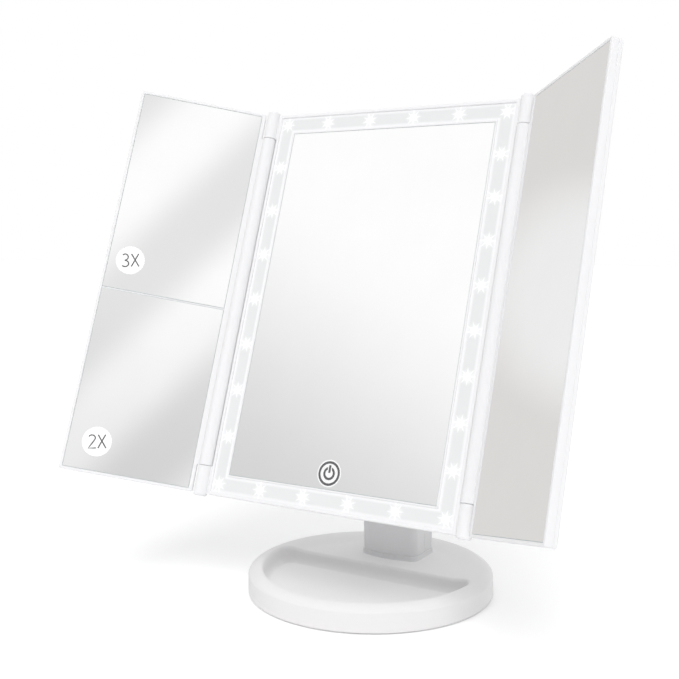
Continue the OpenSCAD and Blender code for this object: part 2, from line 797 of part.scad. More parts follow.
// Door frame with its hinge barrel; a divided one has a rib between two glasses
module door_frame(divided) {
  barrel_z = knuckle_z - run_gap;
  tile_h = panel_h - 2 * door_rim;
  tile_x = (door_in + door_hinge_rim + door_out - door_rim) / 2;
  difference() {
    union() {
      translate([door_mid, 0, 0]) plate(door_w, panel_h, door_y, door_parting, 1.2);
      translate([0, 0, -barrel_z]) cylinder(r = bead_r, h = 2 * barrel_z);
      translate([0, door_y, -barrel_z]) cube([door_in + 1, min(bead_r, door_parting) - door_y, 2 * barrel_z]);
    }
    difference() {
      translate([tile_x, 0, 0]) plate(door_w - door_rim - door_hinge_rim, tile_h, -bead_r, door_floor_y, 0.6);
      if (divided) translate([door_in, door_glass_y + 0.4, divider_z - rib_h / 2]) cube([door_w, glass_t, rib_h]);
      translate([0, 0, -barrel_z]) cylinder(r = bead_r, h = 2 * barrel_z);
    }
    translate([door_mid, 0, 0]) plate(door_w - 2 * door_rim, tile_h, door_floor_y + door_floor_t, door_t + 1, 1);
    for (z = [0, 1]) mirror([0, 0, z]) translate([0, 0, knuckle_z - pin_grip - 0.5])
      cylinder(r = pin_d / 2 + shaft_gap, h = pin_grip + 1);
  }
}

module door_back() {
  bevel = 0.8;
  back = door_y + door_t;
  translate([door_mid, 0, 0]) difference() {
    hull() {
      plate(door_w, panel_h, door_parting, back - bevel, 1.2, $fn = 32);
      plate(door_w - 2 * bevel, panel_h - 2 * bevel, back - bevel, back, 1, $fn = 32);
    }
    plate(door_w - 2 * door_rim, panel_h - 2 * door_rim, 0, back - 1.4, 1);
  }
}

// One glass between two heights on a door
module tile(z0, z1) {
  translate([(tile_in + tile_out) / 2, 0, (z0 + z1) / 2])
    plate(tile_out - tile_in, z1 - z0, door_glass_y, door_floor_y, 0.5);
}

module left_door_frame() {
  color("#f4f4f6") in_left_door() door_frame(true);
}

module left_door_back() {
  color("#f2f2f4") in_left_door() door_back();
}

module left_upper_mirror() {
  color("#d9dde0") in_left_door() tile(divider_z + rib_h / 2 + fit_gap / 2, tile_top);
}

module left_lower_mirror() {
  color("#cfd3d6") in_left_door() tile(-tile_top, divider_z - rib_h / 2 - fit_gap / 2);
}

upper_label = [door_out - 15.2, divider_z + 19.2];
lower_label = [door_out - 18.8, -panel_h / 2 + 19.1];

module left_labels() {
  color("#ffffff") in_left_door() for (p = [upper_label, lower_label]) translate([p[0], 0, p[1]])
    rod_y(label_r, door_glass_y - label_t, door_glass_y);
}

module right_door_frame() {
  color("#f4f4f6") in_right_door() door_frame(false);
}

module right_door_back() {
  color("#f2f2f4") in_right_door() door_back();
}

module right_mirror() {
  color("#d2d6d9") in_right_door() tile(-tile_top, tile_top);
}

base_tray();
base_bottom_cover();
ballast_plate();
rubber_feet();
base_screws();
neck_collar();
neck_front_cover();
neck_rear_cover();
neck_bracket();
bracket_screws();
front_frame();
light_window();
light_trough();
led_boards();
led_chips();
mirror_tray();
main_mirror();
touch_key_mark();
touch_electrode();
control_board();
board_components();
usb_inlet();
power_wires();
rear_housing();
housing_screws();
tilt_axle();
axle_nut();
friction_washers();
lug_caps();
battery_cells();
battery_springs();
battery_plates();
battery_cover();
left_hinge_pins();
right_hinge_pins();
left_door_frame();
left_door_back();
left_upper_mirror();
left_lower_mirror();
left_labels();
right_door_frame();
right_door_back();
right_mirror();
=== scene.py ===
import json
import math

import bmesh
import bpy
from mathutils import Matrix, Vector
from mathutils.geometry import delaunay_2d_cdt


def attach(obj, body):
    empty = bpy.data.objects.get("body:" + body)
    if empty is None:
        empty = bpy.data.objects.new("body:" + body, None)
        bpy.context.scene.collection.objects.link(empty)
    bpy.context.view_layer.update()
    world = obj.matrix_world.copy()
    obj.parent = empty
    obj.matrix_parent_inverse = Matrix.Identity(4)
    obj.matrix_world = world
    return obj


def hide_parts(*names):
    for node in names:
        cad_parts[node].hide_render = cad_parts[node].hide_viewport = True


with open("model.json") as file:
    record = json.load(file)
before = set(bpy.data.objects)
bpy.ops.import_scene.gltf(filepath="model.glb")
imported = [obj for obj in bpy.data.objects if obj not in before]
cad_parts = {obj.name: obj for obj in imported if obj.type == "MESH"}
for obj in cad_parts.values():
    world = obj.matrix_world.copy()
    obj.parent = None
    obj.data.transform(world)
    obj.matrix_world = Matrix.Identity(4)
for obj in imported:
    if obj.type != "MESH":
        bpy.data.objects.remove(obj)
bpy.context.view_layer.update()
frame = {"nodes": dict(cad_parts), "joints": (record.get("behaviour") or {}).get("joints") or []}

# ---- camera ----
# A long lens a little above the tray, turned towards the right door,
# so that the open doors and the front of the base are both in view.

camera_data = bpy.data.cameras.new("camera")
camera_data.sensor_width = 36
camera_data.lens = 54.42
camera = bpy.data.objects.new("camera", camera_data)
bpy.context.scene.collection.objects.link(camera)
bpy.context.scene.camera = camera
camera_turn = math.radians(31.17)
camera_rise = math.radians(5.89)
camera_reach = 0.59295
camera_aim = Vector((-0.01267, -0.01466, 0.15018))
away = Vector((math.sin(camera_turn) * math.cos(camera_rise),
               -math.cos(camera_turn) * math.cos(camera_rise),
               math.sin(camera_rise)))
camera.location = camera_aim + camera_reach * away
camera.rotation_euler = away.to_track_quat("Z", "Y").to_euler()

# ---- studio ----
# A white sweep that glows a little, under a soft sky and two broad lamps, in front and above.
# Each mirror shows its own part of the sky, a dome, strip lights or a wall, and nothing else.

bpy.context.scene.view_settings.view_transform = "Standard"


def hex_colour(code):
    """An sRGB hex colour as linear red, green, blue and alpha."""
    parts = [int(code[i:i + 2], 16) / 255 for i in (1, 3, 5)]
    return [c / 12.92 if c <= 0.04045 else ((c + 0.055) / 1.055) ** 2.4 for c in parts] + [1.0]


def add(tree, kind, inputs=None, **settings):
    """Adds a node with its settings, and sets or links each of its inputs."""
    node = tree.nodes.new(kind)
    for name, value in settings.items():
        setattr(node, name, value)
    for name, value in (inputs or {}).items():
        if isinstance(value, bpy.types.NodeSocket):
            tree.links.new(value, node.inputs[name])
        else:
            node.inputs[name].default_value = value
    return node


world = bpy.data.worlds.new("studio_sky")
bpy.context.scene.world = world
world.use_nodes = True
sky = world.node_tree
sky.nodes.clear()
look = add(sky, "ShaderNodeTexCoord").outputs["Generated"]


def toward(axis):
    """How far each direction of the sky points along an axis."""
    return add(sky, "ShaderNodeVectorMath", {0: look, 1: axis}, operation="DOT_PRODUCT").outputs["Value"]


def graded(value, low, high, low_colour, high_colour):
    """A soft grade from one colour or share to another as a value rises."""
    share = add(sky, "ShaderNodeMapRange", {0: value, 1: low, 2: high, 3: 0.0, 4: 1.0},
                interpolation_type="SMOOTHSTEP").outputs[0]
    return add(sky, "ShaderNodeMix", {0: share, 6: low_colour, 7: high_colour}, data_type="RGBA").outputs[2]


# The dome over the camera's left shoulder, which the centre mirror shows
dome = graded(toward((0.46, 0.25, 0.85)), -0.22, 0.07, hex_colour("#d6d6d6"), hex_colour("#ffffff"))

# Three diagonal strip lights behind a diffuser to the front right, for the left door
slats = toward((-0.80, -0.04, 0.59))
slat_rows = add(sky, "ShaderNodeMath", {0: slats, 1: 48.0}, operation="MULTIPLY").outputs[0]
slat_wave = add(sky, "ShaderNodeMath", {0: slat_rows, 1: -2.1}, operation="ADD").outputs[0]
slat_light = add(sky, "ShaderNodeMath", {0: slat_wave}, operation="COSINE").outputs[0]
slatted = graded(slat_light, -1.0, 1.0, hex_colour("#e6e6e6"), hex_colour("#ffffff"))
slat_shade = graded(toward((-0.29, 0.47, 0.83)), -0.28, -0.06, hex_colour("#ececec"), hex_colour("#ffffff"))
slats_shown = add(sky, "ShaderNodeMix", {0: 1.0, 6: slatted, 7: slat_shade}, data_type="RGBA",
                  blend_type="MULTIPLY").outputs[2]
front_right = graded(toward((0.45, -0.76, 0.47)), 0.84, 0.93, dome, slats_shown)

# A warm grey wall to the left with one soft patch of light on it, for the right door
wall = graded(toward((-0.938, 0.308, 0.167)), 0.9925, 0.9998, hex_colour("#dcdad8"), hex_colour("#eeeeee"))
mirrored = graded(toward((-0.93, 0.35, 0.14)), 0.85, 0.93, front_right, wall)
ray_kind = add(sky, "ShaderNodeLightPath")
fill = add(sky, "ShaderNodeMix", {0: ray_kind.outputs["Is Glossy Ray"], 6: hex_colour("#c3c3c4"),
                                  7: mirrored}, data_type="RGBA").outputs[2]
sky_colour = add(sky, "ShaderNodeMix", {0: ray_kind.outputs["Is Camera Ray"], 6: fill,
                                          7: hex_colour("#ffffff")}, data_type="RGBA").outputs[2]
sky_light = add(sky, "ShaderNodeBackground", {"Color": sky_colour, "Strength": 1.0})
add(sky, "ShaderNodeOutputWorld", {"Surface": sky_light.outputs[0]})


def soft_light(name, way, spread, strength):
    """A far, broad lamp that shines from one way and isn't seen in the mirrors."""
    lamp = bpy.data.lights.new(name, "SUN")
    lamp.angle = math.radians(spread)
    lamp.energy = strength
    light = bpy.data.objects.new(name, lamp)
    bpy.context.scene.collection.objects.link(light)
    light.rotation_euler = Vector(way).to_track_quat("Z", "Y").to_euler()
    light.visible_glossy = False


soft_light("front_light", (0.2, -0.6, 0.75), 35, 1.2)
soft_light("top_light", (0.1, 0.1, 1.0), 80, 0.8)

floor_mesh = bpy.data.meshes.new("floor")
floor_mesh.from_pydata([(-6, -6, 0), (6, -6, 0), (6, 6, 0), (-6, 6, 0)], [], [(0, 1, 2, 3)])
floor = bpy.data.objects.new("floor", floor_mesh)
bpy.context.scene.collection.objects.link(floor)
floor.visible_glossy = False


def new_material(name):
    """An empty material, its node tree and its main shader, already linked."""
    material = bpy.data.materials.new(name)
    material.use_nodes = True
    tree = material.node_tree
    return material, tree, tree.nodes["Principled BSDF"]


sweep, tree, shader = new_material("painted_sweep")
shader.inputs["Base Color"].default_value = hex_colour("#ffffff")
shader.inputs["Emission Color"].default_value = hex_colour("#ffffff")
shader.inputs["Emission Strength"].default_value = 0.1
shader.inputs["Roughness"].default_value = 0.6
shader.inputs["Specular IOR Level"].default_value = 0.1
floor_mesh.materials.append(sweep)

# ---- base tray ----
# The tray base is one ABS moulding, 145 mm across: a rounded rim, a half-moon
# tray in front, and a raised deck behind it that carries the neck.

MM = 0.001


def moulded_abs(name, colour, roughness=0.34):
    """Gloss ABS from a polished mould: a faint wave from shrinkage breaks up its highlights,
    and a very fine grain keeps them soft. The real grain is 0.05 mm and is drawn at 0.5 mm."""
    material, tree, shader = new_material(name)
    place = add(tree, "ShaderNodeTexCoord").outputs["Object"]
    tint = add(tree, "ShaderNodeTexNoise", {"Vector": place, "Scale": 1 / (45 * MM), "Detail": 2.0})
    shade = add(tree, "ShaderNodeMix", {0: tint.outputs["Fac"], 6: hex_colour(colour),
                                        7: [c * 0.975 for c in hex_colour(colour)[:3]] + [1]},
                data_type="RGBA")
    tree.links.new(shade.outputs[2], shader.inputs["Base Color"])
    smear = add(tree, "ShaderNodeTexNoise", {"Vector": place, "Scale": 1 / (9 * MM), "Detail": 3.0})
    gloss = add(tree, "ShaderNodeMapRange", {0: smear.outputs["Fac"], 1: 0.3, 2: 0.7,
                                             3: roughness - 0.03, 4: roughness + 0.05})
    tree.links.new(gloss.outputs[0], shader.inputs["Roughness"])
    wave = add(tree, "ShaderNodeTexNoise", {"Vector": place, "Scale": 1 / (6 * MM), "Detail": 1.0})
    grain = add(tree, "ShaderNodeTexNoise", {"Vector": place, "Scale": 1 / (0.5 * MM), "Detail": 2.0})
    shrink = add(tree, "ShaderNodeBump", {"Height": wave.outputs["Fac"], "Strength": 0.05,
                                          "Distance": 0.1 * MM})
    skin = add(tree, "ShaderNodeBump", {"Height": grain.outputs["Fac"], "Strength": 0.03,
                                        "Distance": 0.01 * MM, "Normal": shrink.outputs[0]})
    tree.links.new(skin.outputs[0], shader.inputs["Normal"])
    shader.inputs["IOR"].default_value = 1.53
    shader.inputs["Subsurface Weight"].default_value = 0.04
    shader.inputs["Subsurface Radius"].default_value = (0.002, 0.002, 0.002)
    return material


white_abs = moulded_abs("gloss_white_abs", "#ededee")
base_abs = moulded_abs("base_white_abs", "#e9e8e8")


def loft(mesh, rings, ends="capped"):
    """Skins a row of rings that have as many points each. The ends are capped, open or joined."""
    layers = [[mesh.verts.new(point) for point in ring] for ring in rings]
    pairs = list(zip(layers, layers[1:])) + ([(layers[-1], layers[0])] if ends == "joined" else [])
    for low, high in pairs:
        for i in range(len(low)):
            j = (i + 1) % len(low)
            mesh.faces.new((low[i], low[j], high[j], high[i]))
    if ends == "capped":
        mesh.faces.new(layers[0][::-1])
        mesh.faces.new(layers[-1])
    return layers


def make_piece(name, mesh, body, finishes, nodes_replaced=(), place=None, crease=32):
    """Turns a bmesh drawn in millimetres into a piece that rides on a body."""
    bmesh.ops.recalc_face_normals(mesh, faces=mesh.faces)
    bmesh.ops.scale(mesh, vec=(MM, MM, MM), verts=mesh.verts)
    data = bpy.data.meshes.new(name)
    mesh.to_mesh(data)
    mesh.free()
    for finish in finishes:
        data.materials.append(finish)
    data.shade_smooth()
    data.set_sharp_from_angle(angle=math.radians(crease))
    piece = bpy.data.objects.new(name, data)
    bpy.context.scene.collection.objects.link(piece)
    if place is not None:
        piece.matrix_world = place
    level = piece.modifiers.new("even_normals", "WEIGHTED_NORMAL")
    level.keep_sharp = True
    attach(piece, body)
    if nodes_replaced:
        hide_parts(*nodes_replaced)
    piece.visible_glossy = False


base_r = 72.6
base_bottom = 1.0
base_wall = 2.2
shoulder_z = 11.6
rim_z = 15.0
crest_r = base_r - 6.4
deck_z = 13.0
deck_r = 50.0
floor_z = 5.0
tray_r = base_r - 9.0
chord_y = 6.0
tray_corner = 8.0
lip_round = 2.2
foot_round = 3.6
edge_ring = 0.5
shoulder_step = 0.12
shoulder_drop = rim_z - shoulder_z
shoulder_bend = ((base_r - crest_r) ** 2 + shoulder_drop ** 2) / (2 * shoulder_drop)


def eased(t):
    t = min(1.0, max(0.0, t))
    return t * t * (3 - 2 * t)


def top_height(x, y):
    """Height of the deck and of the rim's inner slope over a point of the base."""
    r = math.hypot(x, y)
    return deck_z + (rim_z - deck_z) * eased((r - deck_r) / (crest_r - deck_r))


def half_moon(grow):
    """Outline of the tray, grown by so many millimetres: a circle cut by a rounded chord."""
    r, chord, corner = tray_r + grow, chord_y + grow, tray_corner + grow
    cy = chord - corner
    cx = math.sqrt((r - corner) ** 2 - cy ** 2)
    turn = math.atan2(cy, cx)
    right = [turn + (math.pi / 2 - turn) * i / 12 for i in range(13)]
    left = [math.pi / 2 + (math.pi / 2 - turn) * i / 12 for i in range(13)]
    front = [math.pi - turn + (math.pi + 2 * turn) * i / 96 for i in range(1, 96)]
    straight = [(cx - 2 * cx * i / 24, chord) for i in range(1, 24)]
    return ([(cx + corner * math.cos(a), cy + corner * math.sin(a)) for a in right] + straight
            + [(-cx + corner * math.cos(a), cy + corner * math.sin(a)) for a in left]
            + [(r * math.cos(a), r * math.sin(a)) for a in front])


def inside(point, outline):
    """Whether a point lies in a closed outline."""
    x, y = point
    hit = False
    for (ax, ay), (bx, by) in zip(outline, outline[1:] + outline[:1]):
        if (ay > y) != (by > y) and x < ax + (y - ay) * (bx - ax) / (by - ay):
            hit = not hit
    return hit


def circle(r, z, steps=192):
    return [(r * math.cos(2 * math.pi * i / steps), r * math.sin(2 * math.pi * i / steps), z)
            for i in range(steps)]


def fill_between(mesh, outer, inner, extra):
    """Triangles between an outer and an inner loop of points, through some extra points."""
    verts = outer + inner + extra
    points = [Vector((v.co.x, v.co.y)) for v in verts]
    loops = [(i, (i + 1) % len(outer)) for i in range(len(outer))]
    loops += [(len(outer) + i, len(outer) + (i + 1) % len(inner)) for i in range(len(inner))]
    edge = [tuple(p) for p in points[:len(outer)]]
    hole = [tuple(p) for p in points[len(outer):-len(extra) or None]]
    found = delaunay_2d_cdt(points, loops, [], 0, 1e-6)
    for face in found[2]:
        corners = [found[3][i][0] for i in face]
        middle = tuple(sum((points[i] for i in corners), Vector((0, 0))) / len(corners))
        if inside(middle, edge) and not inside(middle, hole):
            mesh.faces.new([verts[i] for i in corners])


def moon_ring(grow, z):
    return [(x, y, z) for x, y in half_moon(grow)]


tray = bmesh.new()
side_rings = [circle(base_r, base_bottom), circle(base_r, shoulder_z - edge_ring)]
rim_turn = math.asin((base_r - crest_r) / shoulder_bend)
rim_steps = 10
for i in range(rim_steps + 1):
    turn = rim_turn * (1 - i / rim_steps)
    r = crest_r + shoulder_bend * math.sin(turn) - (shoulder_step if i == 0 else 0)
    side_rings.append(circle(r, rim_z - shoulder_bend + shoulder_bend * math.cos(turn)))
side = loft(tray, side_rings, ends="open")
lip_steps = 6
tray_rings = []
for i in range(lip_steps + 1):
    bend = math.pi / 2 * i / lip_steps
    drop = lip_round * (1 - math.cos(bend))
    tray_rings.append([(x, y, top_height(*start) - drop) for start, (x, y)
                       in zip(half_moon(lip_round), half_moon(lip_round * (1 - math.sin(bend))))])
for i in range(lip_steps + 1):
    bend = math.pi / 2 * i / lip_steps
    foot_in = foot_round * (1 - math.cos(bend))
    foot_up = foot_round * (1 - math.sin(bend))
    tray_rings.append(moon_ring(-foot_in, floor_z + foot_up))
well = loft(tray, tray_rings, ends="open")
tray.faces.new(well[-1])
slope_radii = (65.0, 64.0, 62.6, 61.0, 59.0, 57.0, 54.5, 52.0)
deck_reach = 52
deck_step = 4
lip_gap = 0.7
crest_gap = 0.4
spots = []
for r in slope_radii:
    spots += [(x, y) for x, y, z in circle(r, 0, 144)]
columns = range(-deck_reach, deck_reach + 1, deck_step)
rows = range(0, deck_reach + 1, deck_step)
spots += [(x, y) for x in columns for y in rows if math.hypot(x, y) < deck_reach - 1]
guard = half_moon(lip_round + lip_gap)
spots = [p for p in spots if not inside(p, guard) and math.hypot(*p) < crest_r - crest_gap]
fill_between(tray, side[-1], well[0], [tray.verts.new((x, y, top_height(x, y))) for x, y in spots])
under = deck_z - base_wall
hollow = loft(tray, [circle(base_r - base_wall, base_bottom), circle(base_r - base_wall, under)], ends="open")
pocket = loft(tray, [moon_ring(base_wall, under), moon_ring(base_wall, floor_z - base_wall)], ends="open")
tray.faces.new(pocket[-1])
fill_between(tray, hollow[-1], pocket[0], [])
for i in range(len(side[0])):
    j = (i + 1) % len(side[0])
    tray.faces.new((side[0][i], side[0][j], hollow[0][j], hollow[0][i]))
make_piece("tray_base", tray, "base", [base_abs], ["base_tray"], crease=28)

# ---- neck ----
# Two ABS covers round a steel bracket, joined along the sides. They rise from
# a collar on the deck, bend forward at the knee, and end round the tilt axle.

neck_abs = moulded_abs("neck_white_abs", "#e4e4e5", 0.36)
neck_w = 37.4
neck_wall = 2.0
neck_front = 19.4
neck_back = 49.4
neck_middle = (neck_front + neck_back) / 2
collar_top = 16.0
knee = Vector((neck_middle, 38.0))
knee_r = 15.0
pivot = Vector((-12.5, 105.5))
pivot_r = 9.0
lean = (pivot - knee).normalized()
side_way = Vector((-lean.y, lean.x))
seam = 0.12


def neck_line(side):
    """Points down one side of the neck's outline, from the collar to above the axle."""
    foot_y = neck_front if side > 0 else neck_back
    points = [Vector((foot_y, z)) for z in (collar_top, 20.0, 25.0)]
    start = Vector((foot_y, 29.0 if side > 0 else 38.0))
    bent = knee + side_way * side * knee_r + lean * (4.0 if side > 0 else 2.0)
    corner = Vector((foot_y, 34.5 if side > 0 else 45.0))
    for i in range(9):
        t = i / 8
        points.append(start * (1 - t) ** 2 + corner * 2 * t * (1 - t) + bent * t ** 2)
    end = pivot + side_way * side * pivot_r
    for i in range(1, 9):
        points.append(bent.lerp(end, i / 8))
    for turn in (20, 40, 58, 72):
        a = math.radians(turn)
        points.append(pivot + pivot_r * (side_way * side * math.cos(a) + lean * math.sin(a)))
    return points


def half_ring(front, back, inset, half):
    """Half of one section of the neck: half is 1 for the front cover and -1 for the rear one."""
    middle = (front + back) / 2
    reach = (front - back).length / 2 - inset
    out = (front - back).normalized() * half
    corner = max(0.3, min(5.0, reach * 0.45) - inset * 0.6)
    bow = (2.0 if half > 0 else 0.4) * min(1.0, reach / 15)
    wide = neck_w / 2 - inset
    outline = [(wide, seam)]
    for i in range(9):
        a = math.pi / 2 * i / 8
        outline.append((wide - corner + corner * math.cos(a), reach - bow - corner + corner * math.sin(a)))
    flat = wide - corner
    for i in range(1, 8):
        x = flat * (1 - 2 * i / 8)
        outline.append((x, reach - bow * (x / flat) ** 2))
    outline += [(-x, d) for x, d in reversed(outline[:10])]
    return [(x, *(middle + out * max(d, seam))) for x, d in outline]


def neck_cover(name, half, node):
    """A shell of even wall, lofted up the neck's bent line."""
    mesh = bmesh.new()
    rings = []
    for front, back in zip(neck_line(1), neck_line(-1)):
        rings.append(half_ring(front, back, 0, half) + half_ring(front, back, neck_wall, half)[::-1])
    loft(mesh, rings)
    make_piece(name, mesh, "base", [neck_abs], [node])


neck_cover("neck_front_shell", 1, "neck_front_cover")
neck_cover("neck_rear_shell", -1, "neck_rear_cover")


def collar_ring(grow, z):
    front = Vector((neck_front - grow, z))
    back = Vector((neck_back + grow, z))
    points = half_ring(front, back, 0, 1) + half_ring(front, back, 0, -1)[::-1]
    stretch = (neck_w / 2 + grow) / (neck_w / 2)
    return [(x * stretch, y, z) for x, y, z in points]


collar = bmesh.new()
collar_foot = deck_z + 0.02
collar_profile = [(-0.6, collar_foot), (0.7, collar_foot), (0.4, deck_z + 0.9), (0.4, 15.3), (0.25, 15.65),
                  (-0.1, 15.8), (-0.6, 15.8)]
loft(collar, [collar_ring(grow, z) for grow, z in collar_profile])
make_piece("collar", collar, "base", [neck_abs], ["neck_collar"])

# ---- head: place and rings ----
# Everything on the head is drawn in the panel's own directions: x to the right,
# y to the back and z up the panel, from the middle of the panel's front face.

joints = {joint["name"]: joint for joint in frame["joints"]}
left_axis = Vector(joints["left_door_hinge"]["pos_m"])
right_axis = Vector(joints["right_door_hinge"]["pos_m"])
panel_up = Vector(joints["left_door_hinge"]["axis"])
panel_right = Vector((1, 0, 0))
panel_back = panel_up.cross(panel_right)
head_place = (Matrix.Translation((left_axis + right_axis) / 2)
              @ Matrix((panel_right, panel_back, panel_up)).transposed().to_4x4())
panel_w, panel_h = 160.0, 240.0
hinge_x = (right_axis.x - left_axis.x) / 2 / MM


def plate_ring(w, h, r, y, x=0.0, z=0.0, steps=6):
    """A rounded rectangle standing across the panel at depth y."""
    r = max(r, 0.05)
    points = []
    for corner, (sx, sz) in enumerate(((1, 1), (-1, 1), (-1, -1), (1, -1))):
        for i in range(steps + 1):
            a = math.pi / 2 * (corner + i / steps)
            points.append((x + sx * (w / 2 - r) + r * math.cos(a), y, z + sz * (h / 2 - r) + r * math.sin(a)))
    return points


def framed(mesh, w, h, r, profile, ends="capped", x=0.0, z=0.0):
    """Sweeps a profile of (inset, depth) pairs round a rounded rectangle."""
    loft(mesh, [plate_ring(w - 2 * i, h - 2 * i, r - i, y, x, z) for i, y in profile], ends)


def rounded_edge(inset, depth, r, start, end, steps=4):
    """Profile points round an edge, its centre at inset and depth, from one angle to another."""
    angles = [math.radians(start + (end - start) * i / steps) for i in range(steps + 1)]
    return [(inset + r * math.cos(a), depth + r * math.sin(a)) for a in angles]


# ---- front frame ----
# The front frame is a thin ABS moulding with a raised lip round the light band.
# Its four corner knuckles hold the pins that the doors turn on.

frame_d = 6.0
frame_wall = 1.4
lip_w = 2.0
lip_t = 0.8
bead_r = 4.2
knuckle_z = 103.7
knuckle_top = panel_h / 2 + 1.6
knuckle_round = 1.6
turned_edge = 0.3
turned_core = 0.4
web_w = 6.4
web_in = 3.6


def turned(mesh, profile, x=0.0, y=0.0, steps=40):
    """Turns a profile of (radius, height) pairs about an upright line."""
    turns = [2 * math.pi * i / steps for i in range(steps)]
    loft(mesh, [[(x + r * math.cos(a), y + r * math.sin(a), z) for a in turns] for r, z in profile])


front = bmesh.new()
framed(front, panel_w, panel_h, 2.5, [(0.25, frame_d), (0, frame_d - 0.25)]
       + rounded_edge(0.7, 0.7, 0.7, 180, 270) + rounded_edge(lip_w - 0.25, 0.25, 0.25, 270, 360)
       + [(lip_w, lip_t), (frame_wall, lip_t), (frame_wall, frame_d)], "joined")
knuckle = [(bead_r - turned_edge, knuckle_z), (bead_r, knuckle_z + turned_edge)]
knuckle += rounded_edge(bead_r - knuckle_round, knuckle_top - knuckle_round, knuckle_round, 0, 90, 6)
knuckle += [(turned_core, knuckle_top)]
for side in (-1, 1):
    for end in (-1, 1):
        turned(front, [(r, z * end) for r, z in knuckle], x=side * hinge_x)
        web_x = side * (hinge_x - web_in)
        web_z = end * (panel_h / 2 + knuckle_z) / 2
        loft(front, [plate_ring(web_w, panel_h / 2 - knuckle_z, 0.4, y, web_x, web_z)
                     for y in (0.15, 0.3, bead_r - 0.2, bead_r)])
make_piece("front_bezel", front, "head", [white_abs], ["front_frame"], head_place)

# ---- light window ----
# A frosted acrylic strip fills the band between the frame and the mirror.
# It is sanded on its back; each lamp behind it is painted on as emission, a star whose rays are a painted
# glint.

row_lights, left_lights, right_lights = 6, 9, 10
light_x, light_z = 73.0, 113.0
window_y = 0.8
window_back = 2.8
star_turn, star_share = 13, 45
light_places = [(light_x * (2 * i / (row_lights - 1) - 1), s * light_z)
                for s in (1, -1) for i in range(row_lights)]
for light_column, count in ((-light_x, left_lights), (light_x, right_lights)):
    light_places += [(light_column, light_z * (1 - 2 * i / (count - 1))) for i in range(1, count - 1)]


def frosted_acrylic():
    """Frosted acrylic, pale grey, its base colour lighter towards both edges of the band. Each lamp
    behind it is painted on as emission: a bright centre, a soft ring and eight short rays, a painted glint."""
    material, tree, shader = new_material("frosted_acrylic")
    # The light of each lamp is painted on the window as emission, as a star drawn round the lamp's place.
    star = add(tree, "ShaderNodeUVMap", uv_map="from_light").outputs[0]
    split = add(tree, "ShaderNodeSeparateXYZ", {0: star})
    reach = add(tree, "ShaderNodeVectorMath", {0: star}, operation="LENGTH").outputs["Value"]
    # Painted glint: eight thin rays round each lamp, fading outwards.
    turn = add(tree, "ShaderNodeMath", {0: split.outputs["Y"], 1: split.outputs["X"]}, operation="ARCTAN2")
    wheel = add(tree, "ShaderNodeMath", {0: turn.outputs[0], 1: 4.0}, operation="MULTIPLY")
    spoke = add(tree, "ShaderNodeMath", {0: wheel.outputs[0]}, operation="COSINE")
    blade = add(tree, "ShaderNodeMath", {0: spoke.outputs[0]}, operation="ABSOLUTE")
    thin = add(tree, "ShaderNodeMath", {0: blade.outputs[0], 1: 18.0}, operation="POWER")
    fade = add(tree, "ShaderNodeMapRange", {0: reach, 1: 1.0, 2: 5.4, 3: 0.42, 4: 0.0})
    painted_rays = add(tree, "ShaderNodeMath", {0: thin.outputs[0], 1: fade.outputs[0]}, operation="MULTIPLY")
    # Painted light: a bright centre and a soft ring round each lamp.
    painted_core = add(tree, "ShaderNodeMapRange", {0: reach, 1: 2.4, 2: 0.9, 3: 0.0, 4: 0.7},
               interpolation_type="SMOOTHSTEP")
    painted_halo = add(tree, "ShaderNodeMapRange", {0: reach, 1: 5.0, 2: 1.0, 3: 0.0, 4: 0.14},
               interpolation_type="SMOOTHSTEP")
    painted_core_and_rays = add(tree, "ShaderNodeMath", {0: painted_core.outputs[0], 1: painted_rays.outputs[0]}, operation="ADD")
    light = add(tree, "ShaderNodeMath", {0: painted_core_and_rays.outputs[0], 1: painted_halo.outputs[0]}, operation="ADD")
    # The base colour is lighter towards both edges of the band.
    margin = add(tree, "ShaderNodeAttribute", attribute_name="off_middle").outputs["Fac"]
    lighter = add(tree, "ShaderNodeMapRange", {0: margin, 1: 2.6, 2: 4.4, 3: 0.0, 4: 1.0},
                  interpolation_type="SMOOTHSTEP")
    place = add(tree, "ShaderNodeTexCoord").outputs["Object"]
    frost = add(tree, "ShaderNodeTexNoise", {"Vector": place, "Scale": 1 / (0.4 * MM), "Detail": 3.0})
    body = add(tree, "ShaderNodeMix", {0: lighter.outputs[0], 6: hex_colour("#e2e3e3"),
                                       7: hex_colour("#f2f2f3")}, data_type="RGBA")
    tree.links.new(body.outputs[2], shader.inputs["Base Color"])
    # The painted light of the lamps is the window's emission; the window is no lamp.
    tree.links.new(light.outputs[0], shader.inputs["Emission Strength"])
    shader.inputs["Emission Color"].default_value = hex_colour("#ffffff")
    rough = add(tree, "ShaderNodeMapRange", {0: frost.outputs["Fac"], 3: 0.42, 4: 0.58})
    tree.links.new(rough.outputs[0], shader.inputs["Roughness"])
    bump = add(tree, "ShaderNodeBump", {"Height": frost.outputs["Fac"], "Strength": 0.15,
                                        "Distance": 0.03 * MM})
    tree.links.new(bump.outputs[0], shader.inputs["Normal"])
    shader.inputs["IOR"].default_value = 1.49
    return material


